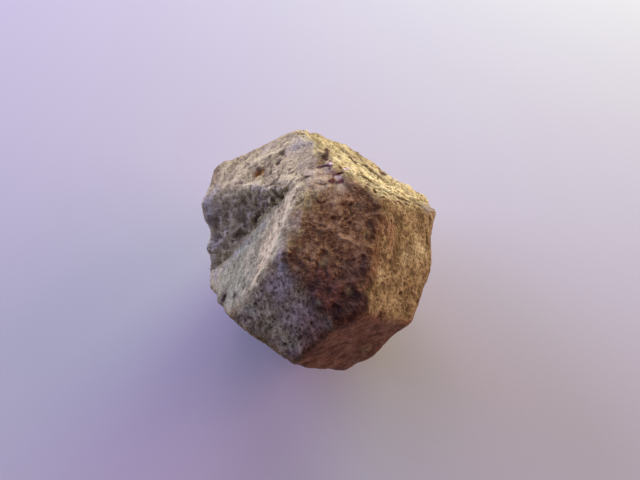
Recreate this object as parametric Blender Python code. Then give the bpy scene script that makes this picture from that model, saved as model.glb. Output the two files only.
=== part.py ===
"""A loose garnet crystal, weathered out of its rock, as one solid in metres with +Z up.

The habit is a rhombic dodecahedron that grew unevenly, so its twelve faces lie at unlike distances
from its centre. A shoulder facet bevels its upper left corner, a re-entrant groove between two
growth levels runs down its left side, growth ledges step across its back right face, and its edges
and faces are worn, chipped and pitted. It lies on one of its own faces.
"""

import math
import random

import bmesh
import bpy
from mathutils import Vector, noise

MM = 0.001
NAME = "garnet_crystal"

# Each plane: azimuth and tilt of its outward normal in degrees, the azimuth turned from +X towards
# +Y and the tilt measured from +Z, then its distance from the crystal's centre in millimetres.
FACES = {
    "top": (0.0, 0.0, 9.1),
    "front": (-67.5, 87.0, 11.15),
    "right": (-12.5, 57.0, 10.2),
    "left": (-142.0, 51.5, 9.4),
    "right_back": (51.5, 56.0, 8.95),
    "left_back": (163.5, 60.0, 10.35),
    "back": (104.5, 88.5, 10.1),
    "under_right": (-26.5, 121.0, 8.7),
    "under_left": (-122.0, 116.0, 8.45),
    "under_right_back": (55.0, 120.0, 10.05),
    "under_left_back": (159.5, 114.0, 9.9),
    "rest": (0.0, 180.0, 10.45),
    "shoulder": (151.0, 37.0, 8.2),
    "right_rim": (-4.5, 97.0, 10.95),
}
GROOVE_WALL = (-130.0, 59.0, 3.35)
GROOVE_FLOOR = (166.5, 61.0, 5.75)

# The back right face steps down away from the top: the risers' shared azimuth and tilt, each
# riser's distance from the centre, how far the face drops there and over what run, in millimetres.
LEDGE_FACE = "right_back"
LEDGE_AZIMUTH, LEDGE_TILT = 98.0, 135.5
LEDGES = (0.0, 3.3)
LEDGE_DROP, LEDGE_RUN = 0.32, 0.35

# Hollows: azimuth and elevation in degrees as seen from the centre, then width and depth in mm.
BROKEN_CORNER = ((74, 56, 2.6, 0.80), (57, 66, 2.8, 0.60), (80, 42, 1.9, 0.50), (92, 72, 1.8, 0.25))
LARGE_PITS = (
    (65, 15, 2.0, 0.45), (48, 5, 2.4, 0.50), (111, 37, 1.5, 0.40), (115, 43, 1.4, 0.35),
    (130, 35, 1.7, 0.45), (-110, 61, 2.2, 0.30), (-152, 10, 1.9, 0.35), (-134, 24, 1.7, 0.30),
    (-28, 41, 1.3, 0.25), (-17, 25, 1.3, 0.25), (-38, 22, 1.6, 0.30), (-100, 21, 1.9, 0.35),
)  # fmt: skip
SCATTERED_PITS = 34
PIT_WIDTH = (1.3, 2.6)
PIT_DEPTH_SHARE = 0.2
SEED = 12

LARGEST_TRIANGLE_SIDE = 0.98
SHARP_EDGE_DEGREES = 12.0
EDGE_WEAR = 0.55
SWELL_HEIGHT, SWELL_LENGTH = 0.10, 3.4
RIPPLE_HEIGHT, RIPPLE_LENGTH = 0.07, 1.3
BLANK_SIDE = 60.0

ALMANDINE_BROWN = (0.14, 0.075, 0.045, 1.0)


def direction(azimuth, tilt):
    """The unit vector at this azimuth from +X and this tilt from +Z."""
    azimuth, tilt = math.radians(azimuth), math.radians(tilt)
    across = math.sin(tilt)
    return Vector((across * math.cos(azimuth), across * math.sin(azimuth), math.cos(tilt)))


def collection(name):
    made = bpy.data.collections.new(name)
    bpy.context.scene.collection.children.link(made)
    return made


def garnet_finish():
    """Dull, iron-stained almandine: brown, rough and not metallic."""
    finish = bpy.data.materials.new("weathered_almandine")
    finish.use_nodes = True
    shader = finish.node_tree.nodes["Principled BSDF"]
    shader.inputs["Base Color"].default_value = ALMANDINE_BROWN
    shader.inputs["Roughness"].default_value = 0.62
    shader.inputs["Metallic"].default_value = 0.0
    finish.diffuse_color = ALMANDINE_BROWN
    return finish


def cleave(solid, plane, keep_inside):
    """Slices the solid along a plane, drops one side and closes the cut with a flat face."""
    azimuth, tilt, distance = plane
    normal = direction(azimuth, tilt)
    parts = solid.verts[:] + solid.edges[:] + solid.faces[:]
    bmesh.ops.bisect_plane(
        solid,
        geom=parts,
        plane_co=normal * distance * MM,
        plane_no=normal,
        clear_outer=keep_inside,
        clear_inner=not keep_inside,
    )
    rim = [edge for edge in solid.edges if edge.is_boundary]
    bmesh.ops.contextual_create(solid, geom=rim)


def blank(planes, keep_inside, name, place):
    """A large cube cut down by planes to a convex solid, as an object in a collection."""
    solid = bmesh.new()
    bmesh.ops.create_cube(solid, size=BLANK_SIDE * MM)
    for plane in planes:
        cleave(solid, plane, keep_inside)
    bmesh.ops.recalc_face_normals(solid, faces=solid.faces)
    mesh = bpy.data.meshes.new(name)
    solid.to_mesh(mesh)
    solid.free()
    made = bpy.data.objects.new(name, mesh)
    place.objects.link(made)
    return made


def cutter(name, planes, place):
    """The space outside all of these planes at once, to be cut away."""
    made = blank(planes, False, name, place)
    made.hide_render = True
    made.display_type = "WIRE"
    return made


def cut_away(body, tool):
    """Cuts the tool out of the body and keeps the result as its plain mesh."""
    cut = body.modifiers.new(tool.name, "BOOLEAN")
    cut.operation = "DIFFERENCE"
    cut.solver = "EXACT"
    cut.object = tool
    bpy.context.view_layer.update()
    graph = bpy.context.evaluated_depsgraph_get()
    result = bpy.data.meshes.new_from_object(body.evaluated_get(graph))
    body.modifiers.clear()
    body.data = result


def on_ledge_face(vert):
    azimuth, tilt, distance = FACES[LEDGE_FACE]
    return abs(vert.co.dot(direction(azimuth, tilt)) - distance * MM) < 0.01 * MM


def score_ledges(solid):
    """Draws the top and foot of each riser across the ledge face, as edges that later drop."""
    outward = direction(LEDGE_AZIMUTH, LEDGE_TILT)
    for riser in LEDGES:
        for distance in (riser, riser + LEDGE_RUN):
            faces = [f for f in solid.faces if all(on_ledge_face(v) for v in f.verts)]
            edges = {edge for face in faces for edge in face.edges}
            verts = {vert for face in faces for vert in face.verts}
            bmesh.ops.bisect_plane(
                solid,
                geom=faces + sorted(edges, key=lambda e: e.index) + sorted(verts, key=lambda v: v.index),
                plane_co=outward * distance * MM,
                plane_no=outward,
            )


def drop_ledges(solid):
    """Lowers the ledge face beyond each riser, evenly across the riser's run."""
    outward = direction(LEDGE_AZIMUTH, LEDGE_TILT)
    inward = -direction(*FACES[LEDGE_FACE][:2])
    stepped = [vert for vert in solid.verts if on_ledge_face(vert)]
    for vert in stepped:
        reach = vert.co.dot(outward) / MM
        steps = sum(min(max((reach - riser) / LEDGE_RUN, 0.0), 1.0) for riser in LEDGES)
        vert.co += inward * steps * LEDGE_DROP * MM


def even_triangles(solid):
    """Halves every long edge until the flat faces are small, even triangles."""
    bmesh.ops.triangulate(solid, faces=solid.faces[:])
    while True:
        long_edges = [e for e in solid.edges if e.calc_length() > LARGEST_TRIANGLE_SIDE * MM]
        if not long_edges:
            return
        bmesh.ops.subdivide_edges(solid, edges=long_edges, cuts=1)
        bmesh.ops.triangulate(solid, faces=[f for f in solid.faces if len(f.verts) > 3])
        even_out(solid)


def even_out(solid):
    """Turns diagonals and slides points within each flat face; its outline stays."""
    flat = [e for e in solid.edges if e.calc_face_angle(0.0) < 1e-3]
    bmesh.ops.beautify_fill(solid, faces=solid.faces[:], edges=flat)
    inner = [v for v in solid.verts if all(e.calc_face_angle(0.0) < 1e-3 for e in v.link_edges)]
    for _ in range(3):
        bmesh.ops.smooth_vert(
            solid, verts=inner, factor=0.5, use_axis_x=True, use_axis_y=True, use_axis_z=True
        )


def hollows():
    """Every hollow as (point direction, half width, depth), named ones first, then scattered."""
    chance = random.Random(SEED)
    named = [(direction(a, 90 - e), w / 2, d) for a, e, w, d in BROKEN_CORNER + LARGE_PITS]
    scattered = []
    while len(scattered) < SCATTERED_PITS:
        azimuth, height = chance.uniform(0, 360), chance.uniform(-0.85, 0.75)
        width = chance.uniform(*PIT_WIDTH)
        towards = direction(azimuth, math.degrees(math.acos(height)))
        scattered.append((towards, width / 2, width * PIT_DEPTH_SHARE))
    return named + scattered


def hollow_depth(point, pits):
    """How far below its face a point lies, in mm: each hollow is a smooth bowl."""
    reach = point.length
    deepest = 0.0
    for towards, half_width, depth in pits:
        away = (point - towards * reach).length / half_width
        if away < 1.0:
            deepest = max(deepest, depth * (1.0 - away * away) ** 2 * 1.15)
    return deepest


def swell(point):
    """The gentle unevenness of a worn face, in mm."""
    broad = SWELL_HEIGHT * noise.noise(point / SWELL_LENGTH)
    fine = RIPPLE_HEIGHT * noise.noise(point / RIPPLE_LENGTH + Vector((7.0, 3.0, 5.0)))
    return broad + fine


def weather(solid):
    """Wears the sharp edges down, then sinks the hollows; the resting face stays flat."""
    sharp_angle = math.radians(SHARP_EDGE_DEGREES)
    sharp = [e for e in solid.edges if e.calc_face_angle(0.0) > sharp_angle]
    worn = sorted({v for e in sharp for v in e.verts}, key=lambda v: v.index)
    bmesh.ops.smooth_vert(
        solid, verts=worn, factor=EDGE_WEAR, use_axis_x=True, use_axis_y=True, use_axis_z=True
    )
    solid.normal_update()
    floor = -FACES["rest"][2] * MM
    pits = hollows()
    moves = []
    for vert in solid.verts:
        if vert.co.z < floor + 0.01 * MM:
            continue
        point = vert.co / MM
        moves.append((vert, vert.normal * (swell(point) - hollow_depth(point, pits)) * MM))
    for vert, move in moves:
        vert.co += move
        vert.co.z = max(vert.co.z, floor)


def settle(mesh):
    """Puts the middle of the crystal's footprint box over the origin and its lowest face at z = 0."""
    corners = [vert.co for vert in mesh.vertices]
    low = [min(corner[axis] for corner in corners) for axis in range(3)]
    high = [max(corner[axis] for corner in corners) for axis in range(3)]
    shift = Vector((-(low[0] + high[0]) / 2, -(low[1] + high[1]) / 2, -low[2]))
    for vert in mesh.vertices:
        vert.co += shift


def garnet_crystal(parts, cutters):
    body = blank(FACES.values(), True, NAME, parts)
    cut_away(body, cutter("groove_cutter", (GROOVE_WALL, GROOVE_FLOOR), cutters))
    solid = bmesh.new()
    solid.from_mesh(body.data)
    score_ledges(solid)
    even_triangles(solid)
    drop_ledges(solid)
    weather(solid)
    solid.to_mesh(body.data)
    solid.free()
    settle(body.data)
    body.data.materials.clear()
    body.data.materials.append(garnet_finish())
    return body


def main():
    for old in list(bpy.data.objects):
        bpy.data.objects.remove(old)
    garnet_crystal(collection("garnet"), collection("cutters"))


main()
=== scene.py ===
"""The looks of a loose, weathered almandine garnet crystal lying on pale paper.

The crystal is one piece. Its surface is worked out with numpy: planes cut a solid from space, the
corners between them are worn round, and each face's own pits, ledges and grain raise or sink it.
Lengths are in millimetres until the mesh is made. Directions are an azimuth, turned from +X towards
+Y, and a tilt from +Z, in degrees. Places on the crystal are measured from its centre.
"""

import itertools
import math

import bpy
import numpy as np
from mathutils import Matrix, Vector


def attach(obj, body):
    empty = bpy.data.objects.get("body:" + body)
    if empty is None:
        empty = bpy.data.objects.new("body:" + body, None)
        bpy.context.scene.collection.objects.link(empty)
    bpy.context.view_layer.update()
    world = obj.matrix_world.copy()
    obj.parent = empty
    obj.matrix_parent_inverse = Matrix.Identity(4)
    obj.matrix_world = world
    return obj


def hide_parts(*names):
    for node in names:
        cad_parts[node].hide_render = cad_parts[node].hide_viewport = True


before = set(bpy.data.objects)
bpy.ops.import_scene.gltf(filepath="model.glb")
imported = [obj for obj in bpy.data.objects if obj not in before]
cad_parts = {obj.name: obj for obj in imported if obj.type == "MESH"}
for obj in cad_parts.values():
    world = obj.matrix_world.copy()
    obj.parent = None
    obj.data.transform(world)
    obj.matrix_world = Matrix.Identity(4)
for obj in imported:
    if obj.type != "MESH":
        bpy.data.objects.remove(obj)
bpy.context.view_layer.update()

MM = 0.001
CENTRE = np.array([-0.56, 0.55, 10.45])
# A place inside that sees every face, the groove's wall too, so a ray from it meets the surface once.
SURVEY_POINT = np.array([2.0, 2.0, -1.0])
GRID_CELLS = 128
# The grid of rays is denser towards the side with the finest relief: which way, and how strongly.
FINER_SIDE, FINER_BY = (-90.0, 23.0), 0.35

# The crystal's faces: azimuth, tilt and distance from the centre.
FACES = {
    "top": (0.0, 0.0, 9.1),
    "front": (-67.5, 87.0, 11.15),
    "right": (-12.5, 57.0, 10.2),
    "left": (-142.0, 51.5, 9.4),
    "right_back": (51.5, 56.0, 8.95),
    "left_back": (163.5, 60.0, 10.35),
    "back": (104.5, 88.5, 10.1),
    "under_right": (-26.5, 121.0, 8.7),
    "under_left": (-122.0, 116.0, 8.45),
    "under_right_back": (55.0, 120.0, 10.05),
    "under_left_back": (159.5, 114.0, 9.9),
    "rest": (0.0, 180.0, 10.45),
    "shoulder": (151.0, 37.0, 8.2),
    "right_rim": (-4.5, 97.0, 10.95),
}
# The groove between two growth levels is what lies outside both of these planes.
GROOVE_WALL, GROOVE_FLOOR = (-130.0, 59.0, 3.35), (166.5, 61.0, 5.75)
# Broken notches at the upper back corner: the bottom, then each side's azimuth and tilt.
NOTCHES = (
    ((1.5, 5.2, 8.4), ((70, 20), (-110, 50), (150, 50), (-20, 45))),
    ((2.4, 3.3, 8.55), ((95, 20), (-75, 50), (170, 40), (10, 35))),
)
# How round the edges are worn, and the corners inside the groove and notches, and how far the edges'
# wear changes along them, as a share.
EDGE_WEAR, GROOVE_WEAR, WEAR_CHANGE = 0.12, 0.16, 0.6
# How widely the faces' reliefs, and their stains, run into each other across an edge.
BLEND, STAIN_BLEND = 0.16, 0.40
# How much an edge has crumbled, and how much that changes along it, as a share.
EDGE_CRUMBLE, CRUMBLE_CHANGE = 0.10, 2.0
# The depths that make a hollow and a crack fully dark with painted shade and a crumbled spot fully
# rough, and the height that makes a rib fully light with painted highlight.
DARK_HOLLOW, DARK_CRACK, ROUGH_SPOT, HIGHLIGHT_RIB = 0.3, 0.12, 0.2, 0.2
# How the points find the surface: steps of Newton's method, the least slope that it divides by,
# and its longest step.
SOLVING_STEPS, LEAST_SLOPE, LONGEST_STEP = 6, 0.25, 0.5

# The growth ledges on the right back face: which way the risers face and over how far each drops,
# then each one's place that way, its drop, and the width of the tread that rises again behind it.
RISER_AZIMUTH, RISER_TILT, RISER_RUN = 98.0, 135.5, 0.35
RISERS = (
    (-1.1, 0.12, 1.0), (0.0, 0.34, 2.8), (1.3, 0.12, 1.0),
    (2.2, 0.10, 1.0), (3.3, 0.32, 3.0), (4.5, 0.12, 1.2),
)  # fmt: skip


class Texture:
    """How one face weathered, in mm: the spacing of its pits, the share of places that hold one,
    their depth and how many times longer than wide they are, then the depth of its cracks and the
    heights of its grain, its crests, its lumps and its slow swell. Specks are how strongly the
    finest pits show on it."""

    def __init__(self, pit, share, depth, stretch=1.0, crack=0.05, grain=0.05, crest=0.06,
                 lump=0.0, swell=0.08, specks=0.6):  # fmt: skip
        self.pit, self.share, self.depth, self.stretch, self.crack = pit, share, depth, stretch, crack
        self.grain, self.crest, self.lump, self.swell, self.specks = grain, crest, lump, swell, specks


TEXTURES = {
    "top": Texture(0.7, 0.3, 0.08, 1.4, crack=0.07, grain=0.06, crest=0.14, lump=0.03, specks=0.3),
    "front": Texture(0.8, 0.15, 0.05, 1.2, crack=0.04, grain=0.02, crest=0.03, specks=0.15),
    "right": Texture(0.42, 0.32, 0.085, 1.5, crack=0.06, grain=0.05, crest=0.08, specks=0.7),
    "left": Texture(0.4, 0.5, 0.12, 1.2, crack=0.08, grain=0.11, crest=0.08, lump=0.03, specks=1.3),
    "right_back": Texture(0.5, 0.5, 0.2, 1.8, crack=0.2, grain=0.15, crest=0.32, lump=0.06, specks=1.4),
    "wall": Texture(
        0.42, 0.5, 0.12, 1.6, crack=0.14, grain=0.2, crest=0.34, lump=0.03, swell=0.05, specks=1.6
    ),
    "floor": Texture(0.45, 0.18, 0.08, crack=0.05, grain=0.07, crest=0.07, lump=0.01, specks=0.6),
    "fresh": Texture(0.4, 0.2, 0.05, crack=0.12, grain=0.03, crest=0.04, swell=0.04, specks=0.3),
    "shoulder": Texture(0.45, 0.2, 0.1, 1.5, crack=0.1, grain=0.08, crest=0.18, lump=0.03, swell=0.12),
}
WORN_FACE = Texture(0.5, 0.45, 0.12, 1.3, crack=0.08, grain=0.07, crest=0.12, lump=0.04)

# Routes that both the relief and the stains follow, or two stains.
LEFT_RIM = ((-9.8, 3.9, 1.3), (-9.5, 2.8, 0.1), (-9.5, 1.4, -1.7), (-9.5, 0.0, -3.25), (-9.2, -1.0, -3.8))
LOWER_LEFT_RIM = ((-9.5, 1.2, -1.9), (-8.9, 0.0, -2.9))
RIM_CRACK = ((10.0, 3.3, 3.0), (10.2, 2.2, 3.7), (10.45, 1.4, 3.5), (10.7, 0.5, 2.8), (10.8, -0.5, 2.4))
BACK_VALLEY = ((4.3, 8.1, 2.6), (5.1, 7.7, 2.3), (5.8, 7.1, 2.3), (6.6, 6.2, 2.6), (7.2, 5.0, 3.8))
BACK_RIB = ((7.2, 4.8, 4.0), (8.0, 4.4, 4.0), (9.2, 4.1, 3.2))
UPPER_GROOVE_CRACK = ((-4.8, 2.0, 3.9), (-5.2, 1.5, 2.9))
LOWER_GROOVE_CRACK = ((-6.7, 1.5, 1.0), (-7.1, 1.1, 0.2))

# Single hollows: place, width and depth.
HOLLOWS = (
    ((-2.7, 7.2, 5.9), 0.9, 0.4), ((-2.9, 6.1, 6.1), 0.9, 0.35), ((-4.7, 5.6, 5.1), 1.2, 0.35),
    ((3.9, 8.3, 2.7), 1.3, 0.35), ((6.9, 7.8, 0.7), 1.4, 0.4), ((4.8, 6.6, 4.2), 0.9, 0.25),
    ((-8.1, -4.9, -0.2), 0.9, 0.35), ((-6.6, -5.8, 2.7), 0.7, 0.25), ((-8.4, -3.2, -1.6), 0.7, 0.2),
    ((-0.8, -10.7, 6.0), 0.7, 0.25), ((-2.0, -11.0, 4.5), 0.9, 0.28), ((-2.9, -8.8, 5.3), 0.5, 0.15),
    ((8.0, -6.2, 4.6), 0.6, 0.2), ((9.0, -5.5, 3.3), 0.6, 0.2), ((7.1, -6.3, 5.9), 0.5, 0.16),
    ((-1.6, -5.1, 9.0), 2.0, 0.2), ((3.6, -8.2, 9.1), 1.8, 0.14), ((2.1, -9.1, 9.1), 1.2, 0.12),
)  # fmt: skip
# Crumbled spots, where the surface is eaten into close ragged pits: place or route, radius, depth.
CRUMBLED = (
    (((-2.3, 2.6, 7.1), (-3.5, 2.0, 5.6), (-4.7, 1.9, 3.9), (-5.3, 1.5, 2.8)), 0.55, 0.26),
    (((-5.8, 1.4, 1.9), (-7.0, 1.1, 0.3), (-7.5, 0.9, -0.6)), 0.45, 0.2),
    (((-8.0, 2.9, 1.6), (-7.3, 2.2, 1.4)), 0.6, 0.1), ((-2.8, 6.8, 5.9), 0.7, 0.22),
    ((-4.7, 5.6, 5.1), 0.7, 0.2), ((-4.0, 4.4, 5.9), 1.0, 0.14), ((-8.3, -3.9, -1.0), 0.7, 0.16),
    (((-5.2, -2.4, 3.9), (-5.4, -4.2, 4.4), (-6.2, -5.4, 3.4)), 0.6, 0.16), ((-4.2, -8.1, 4.7), 0.9, 0.18),
    ((-3.1, -8.8, 5.2), 0.6, 0.15), ((-1.6, -10.8, 5.3), 0.9, 0.22), ((-3.6, -9.7, 3.8), 1.2, 0.12),
    ((7.4, -3.0, 6.5), 0.7, 0.14), ((8.7, -3.7, 4.3), 0.7, 0.18), ((7.6, -6.3, 5.2), 0.6, 0.16),
    ((9.0, -6.1, 3.0), 0.9, 0.18), ((6.2, -8.9, 6.5), 0.7, 0.16),
    (((4.3, 4.0, 7.4), (5.4, 3.8, 6.6), (7.1, 2.6, 6.5), (8.5, 2.1, 5.7)), 0.5, 0.26),
    (((4.5, 7.6, 3.0), (6.9, 6.8, 1.8), (8.2, 5.6, 2.0)), 0.6, 0.34),
)  # fmt: skip
# Ribs stand up and cracks go down: place or route, how far the line reaches to each side, height.
LINES = (
    (((3.8, 5.4, 6.2), (4.9, 4.9, 5.9), (6.5, 4.5, 4.8), (7.3, 4.1, 4.5), (8.4, 4.4, 3.2),
      (9.5, 4.1, 2.4)), 0.28, 0.2),
    (((5.5, 8.2, 1.4), (6.8, 8.0, 0.4), (8.2, 7.3, 0.0), (9.4, 6.0, 0.4)), 0.35, 0.18),
    (((-5.1, 6.8, 4.4), (-4.5, 7.0, 4.7), (-3.2, 7.6, 5.4), (-2.3, 8.1, 5.8)), 0.2, 0.16),
    (((-4.0, 3.6, 6.3), (-3.5, 3.5, 6.7), (-2.7, 3.3, 7.3)), 0.13, -0.14),
    (((-0.6, 3.1, 8.7), (-0.2, 3.0, 8.9), (0.2, 3.0, 9.0)), 0.09, -0.12), ((-0.4, 3.25, 8.8), 0.2, 0.1),
    (((-0.6, 2.7, 8.8), (0.1, 2.55, 9.05), (0.9, 2.3, 9.05), (1.5, 2.35, 9.0)), 0.08, -0.09),
    (((-5.6, 4.2, 5.0), (-4.5, 3.6, 5.8), (-3.4, 3.1, 6.6), (-2.4, 2.8, 7.3)), 0.28, 0.12),
    (RIM_CRACK, 0.16, -0.16),
    (((7.0, 2.6, 6.7), (8.0, 2.8, 5.6), (8.6, 2.7, 5.2), (9.6, 2.7, 4.2)), 0.15, -0.22),
    (BACK_RIB, 0.25, 0.16), (BACK_VALLEY, 0.3, -0.22), (UPPER_GROOVE_CRACK, 0.13, -0.22),
    (LOWER_GROOVE_CRACK, 0.13, -0.2), (((-4.1, 2.5, 5.1), (-4.5, 2.0, 4.3)), 0.12, -0.18),
    (((-5.7, 2.0, 2.8), (-6.0, 1.5, 1.8)), 0.12, -0.18),
    (((-3.1, 2.6, 6.5), (-3.4, 2.3, 5.8)), 0.12, -0.18),
    (((-8.0, 2.9, 1.8), (-8.2, 2.5, 1.1)), 0.12, -0.1),
    (((-1.2, 2.4, 8.7), (-1.7, 1.0, 8.6), (-2.1, -0.4, 8.4), (-2.5, -1.8, 8.1), (-3.0, -2.7, 7.7),
      (-3.7, -3.6, 7.0), (-4.3, -4.6, 6.3), (-4.8, -5.5, 5.7)), 0.35, 0.13),
    (((1.6, -11.2, 4.7), (2.3, -10.9, 4.3), (3.3, -10.5, 3.7)), 0.15, -0.12),
    (((0.2, -11.9, 2.8), (1.2, -11.4, 2.3), (1.9, -11.1, 3.0)), 0.15, -0.12),
    (((0.7, -1.2, 9.1), (1.3, -1.5, 9.1), (2.6, -2.7, 9.1), (3.6, -3.2, 9.1),
      (5.3, -3.6, 9.1)), 0.25, 0.09),
    (((2.1, -4.9, 9.1), (3.0, -5.7, 9.1), (3.8, -7.0, 9.1)), 0.25, 0.08),
    (((2.4, 2.0, 9.1), (2.1, 1.3, 9.1), (2.2, 0.1, 9.1), (2.0, -0.6, 9.1)), 0.25, 0.08),
    (((-2.7, -4.6, 8.5), (-1.6, -5.4, 9.0), (-0.9, -5.7, 9.0)), 0.22, 0.1),
    (((3.4, 2.6, 9.0), (4.3, 2.3, 9.0), (5.2, 2.0, 8.8), (6.2, 1.5, 8.5), (7.0, 1.0, 8.3)), 0.26, 0.14),
)  # fmt: skip
# Where the edges have worn rounder: place, radius and how much rounder.
SOFT_SPOTS = (
    ((-9.3, 4.0, 2.0), 2.4, 0.2), ((-5.5, 3.9, 5.1), 1.2, 0.06), ((-0.9, 8.9, 5.9), 1.5, 0.12),
    ((-8.2, -3.0, -0.5), 2.2, 0.12), ((2.5, -9.8, 9.0), 1.6, 0.2), ((6.0, -4.5, 8.9), 2.0, 0.12),
    ((-9.6, 0.6, -2.7), 2.2, 0.4), ((-9.5, 2.4, -0.5), 1.4, 0.3), ((6.0, -9.7, 6.0), 2.0, 0.12),
    ((3.0, -10.8, -0.5), 2.0, 0.15),
)  # fmt: skip
# Where the crystal swells a little beyond its faces: place or route, radius and height.
BULGES = (
    (((-9.8, 1.0, -2.7), (-9.6, -0.6, -4.1)), 1.1, 0.5), ((-10.4, 4.1, 0.6), 1.3, 0.35),
    ((-8.8, -4.7, -1.4), 0.9, 0.25), ((11.5, 3.3, 1.4), 1.2, 0.35), ((9.6, 6.6, -0.5), 1.6, 0.2),
    ((10.9, -2.6, 1.6), 2.0, 0.25), ((9.8, -5.8, 2.1), 1.5, 0.25), ((6.0, -9.7, -0.5), 1.8, 0.22),
    ((0.9, 10.4, 3.2), 1.0, 0.3), ((0.2, -11.9, 2.2), 1.2, 0.2), ((1.6, -11.5, 0.6), 1.0, 0.22),
    ((-9.5, 2.6, 0.0), 0.9, 0.3), ((5.1, -10.3, -0.7), 1.2, 0.35), ((3.3, -10.8, -1.8), 1.2, 0.2),
    ((-8.9, 7.6, 1.6), 1.6, 0.2), ((-4.0, -9.8, 1.5), 2.0, 0.15), ((9.2, -8.0, 2.0), 1.0, 0.15),
)  # fmt: skip
# Where a face was left smooth: place or route, radius and how much of its relief is gone.
SMOOTH_SPOTS = (
    ((-1.5, 7.2, 6.6), 1.5, 0.8), ((-0.4, 5.3, 8.0), 1.1, 0.8), ((-4.0, 8.6, 4.5), 1.4, 0.6),
    (((-9.3, -1.5, -3.4), (-8.2, -4.5, -0.6), (-7.2, -5.8, 1.2)), 1.0, 0.5), ((-9.2, 4.4, 2.2), 1.6, 0.6),
    ((-9.3, 2.6, -0.2), 0.9, 0.5), ((-1.2, -7.6, 8.0), 1.6, 0.4), ((7.4, -8.6, 5.0), 1.0, 0.4),
)  # fmt: skip


def direction(azimuth, tilt):
    """The unit vector (sin tilt cos azimuth, sin tilt sin azimuth, cos tilt)."""
    azimuth, tilt = math.radians(azimuth), math.radians(tilt)
    across = math.sin(tilt)
    return np.array([across * math.cos(azimuth), across * math.sin(azimuth), math.cos(tilt)])


def smooth_step(values, low, high):
    """0 below low, 1 above high, and an even S between them."""
    part = np.clip((values - low) / (high - low), 0.0, 1.0)
    return part * part * (3.0 - 2.0 * part)


def ray_directions():
    """Unit directions over a whole sphere, and the quads that join them.

    On each side of a cube two parameters a and b run evenly from -45 to 45 degrees, and the
    direction is (tan a, tan b, 1) turned to that side and made one long. Directions that two
    sides share along their seam are made one. Last, a fixed vector is added to each and it is made
    one long again, which draws the directions towards that vector.
    """
    steps = np.tan(np.linspace(-math.pi / 4, math.pi / 4, GRID_CELLS + 1))
    a, b = (grid.ravel() for grid in np.meshgrid(steps, steps, indexing="ij"))
    index = np.arange(a.size).reshape(GRID_CELLS + 1, GRID_CELLS + 1)
    corners = (index[:-1, :-1], index[1:, :-1], index[1:, 1:], index[:-1, 1:])
    cells = np.stack(corners, axis=-1).reshape(-1, 4)
    rays, quads = [], []
    for side, (axis, sign) in enumerate(itertools.product(range(3), (1, -1))):
        ray = np.empty((a.size, 3))
        ray[:, axis], ray[:, (axis + 1) % 3], ray[:, (axis + 2) % 3] = sign, a, b * sign
        rays.append(ray)
        quads.append(cells + side * a.size)
    rays = np.concatenate(rays)
    rays /= np.linalg.norm(rays, axis=1, keepdims=True)
    _, first, joined = np.unique(rays.round(7), axis=0, return_index=True, return_inverse=True)
    rays = rays[first] + FINER_BY * direction(*FINER_SIDE)
    rays /= np.linalg.norm(rays, axis=1, keepdims=True)
    return rays, joined.reshape(-1)[np.concatenate(quads)]


def cell_values(cells, seed):
    """A repeatable value from 0 to 1 for each whole-number cell: its coordinates and the seed, each
    times a large odd number, are summed and their bits mixed, and the lowest 24 give the value."""
    x, y, z = cells.astype(np.int64).T
    mixed = (x * 374761393 + y * 668265263 + z * 1440662683 + seed * 974634777) & 0xFFFFFFFF
    mixed = ((mixed ^ (mixed >> 13)) * 1274126177) & 0xFFFFFFFF
    return ((mixed ^ (mixed >> 16)) & 0xFFFFFF) / 0xFFFFFF


def noise(points, size, seed):
    """Smooth values from -1 to 1: cell corners size apart hold random values, blended evenly."""
    scaled = points / size
    base = np.floor(scaled)
    part = scaled - base
    part = part * part * (3.0 - 2.0 * part)
    total = np.zeros(len(points))
    for corner in itertools.product((0, 1), repeat=3):
        weight = np.prod(np.where(corner, part, 1.0 - part), axis=1)
        total += weight * cell_values(base + corner, seed)
    return 2.0 * total - 1.0


def crests(points, size, seed):
    """Heights from 0 to 1 of a net of sharp crests: one less the distance of smooth noise from its
    middle, squared."""
    return (1.0 - np.abs(noise(points, size, seed))) ** 2


def layered(pattern, points, size, seed, layers=4, fade=0.55):
    """A pattern plus finer layers of it, each half the size and a share of the height before it, over
    the sum of their heights."""
    total, height, heights = np.zeros(len(points)), 1.0, 0.0
    for layer in range(layers):
        total += height * pattern(points, size / 2**layer, seed + layer)
        heights += height
        height *= fade
    return total / heights


def scattered_middles(points, size, seed):
    """One middle at a random place in each cell of this size. For each of the 27 cells round every
    point it gives the cells and the square of the distance to their middle, measured in cells."""
    scaled = points / size
    base = np.floor(scaled)
    for offset in itertools.product((-1, 0, 1), repeat=3):
        cells = base + offset
        jitter = np.stack([cell_values(cells, seed + axis) for axis in range(3)], axis=1)
        yield cells, ((scaled - cells - jitter) ** 2).sum(axis=1)


def bowls(points, size, share, seed):
    """Depths from 0 to 1 of round bowls, which a share of the cells holds: (1 - d^2 / r^2)^1.5, for a
    random radius r and the distance d from the middle, and a point takes the deepest."""
    deepest = np.zeros(len(points))
    for cells, away in scattered_middles(points, size, seed):
        radius = 0.35 + 0.4 * cell_values(cells, seed + 3)
        present = cell_values(cells, seed + 4) < share
        depth = np.clip(1.0 - away / radius**2, 0.0, 1.0) ** 1.5
        deepest = np.maximum(deepest, np.where(present, depth, 0.0))
    return deepest


def lumps(points, size, seed):
    """Heights from 0 to 1 of touching round lumps, one in each cell: one less the square of the
    distance to the nearest middle."""
    nearest = np.full(len(points), np.inf)
    for _, away in scattered_middles(points, size, seed):
        nearest = np.minimum(nearest, away)
    return 1.0 - np.minimum(nearest, 1.0)


def warped(points, size, amount, seed):
    """Points pushed about by smooth noise, so that what is drawn at them loses its even shape."""
    return points + amount * np.stack([noise(points, size, seed + axis) for axis in range(3)], axis=1)


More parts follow.
